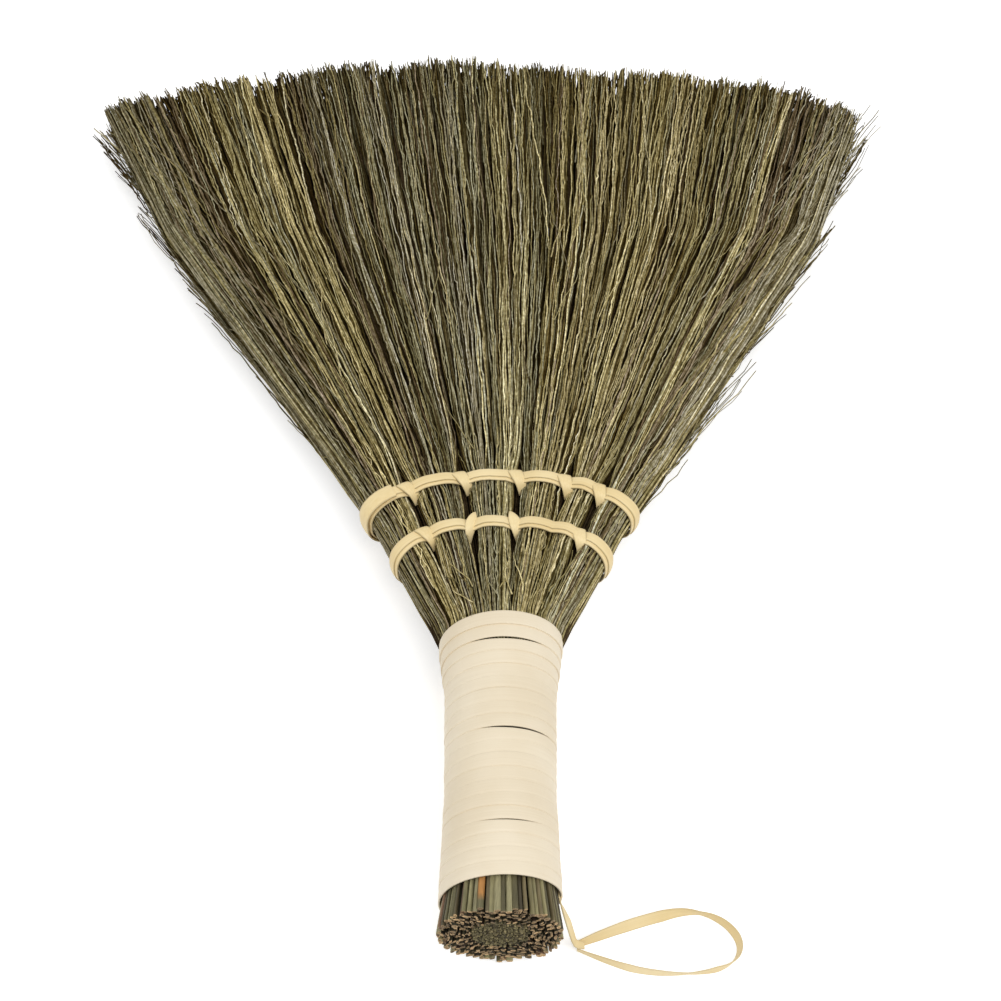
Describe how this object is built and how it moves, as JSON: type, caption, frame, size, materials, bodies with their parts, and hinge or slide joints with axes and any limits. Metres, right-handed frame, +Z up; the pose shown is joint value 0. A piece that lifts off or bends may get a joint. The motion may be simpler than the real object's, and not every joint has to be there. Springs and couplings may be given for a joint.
{
  "type": "hand broom",
  "caption": "Short hand broom of gathered grass: fan of fine stems bound by stitched bands, strip-wound round grip, cut stalk butt and a ribbon hanging loop.",
  "frame": {"origin": "on the floor, below the middle of the broom's length and width without its loop", "axes": "+X to the right across the fan seen from the butt, +Y from the cut butt to the tips, +Z up with the broom lying flat"},
  "size_m": [0.3333, 0.4141, 0.0416],
  "materials": {
    "grass": "dry olive and khaki grass stems, dull with pale glints",
    "stalk": "dry grey-green and brown flattened stalks, dull",
    "wrap_strip": "smooth cream strip, soft sheen",
    "tie_cord": "twisted natural cord, dull",
    "binding_strip": "smooth yellow-cream strip, soft sheen",
    "ribbon": "flat straw-yellow ribbon, soft sheen"
  },
  "bodies": {
    "broom": {"grass_bundle_1": "grass", "grass_bundle_2": "grass", "grass_bundle_3": "grass", "grass_bundle_4": "grass", "grass_bundle_5": "grass", "grass_bundle_6": "grass", "outer_stalks": "stalk", "inner_stalks": "stalk", "handle_wrap": "wrap_strip", "neck_tie": "tie_cord", "lower_band": "binding_strip", "upper_band": "binding_strip", "band_end_lap": "binding_strip", "upper_stitch_1": "binding_strip", "upper_stitch_2": "binding_strip", "upper_stitch_3": "binding_strip", "upper_stitch_4": "binding_strip", "upper_stitch_5": "binding_strip", "lower_stitch_1": "binding_strip", "lower_stitch_2": "binding_strip", "lower_stitch_3": "binding_strip", "lower_stitch_4": "binding_strip", "loop_tail": "ribbon"},
    "loop": {"hang_loop": "ribbon"}
  },
  "joints": [
    {"name": "loop_swing", "type": "hinge", "parent": "broom", "child": "loop", "pos_m": [0.031, -0.2005, 0.00175], "axis": [0, 0, 1], "range_deg": [-90, 40]}
  ]
}
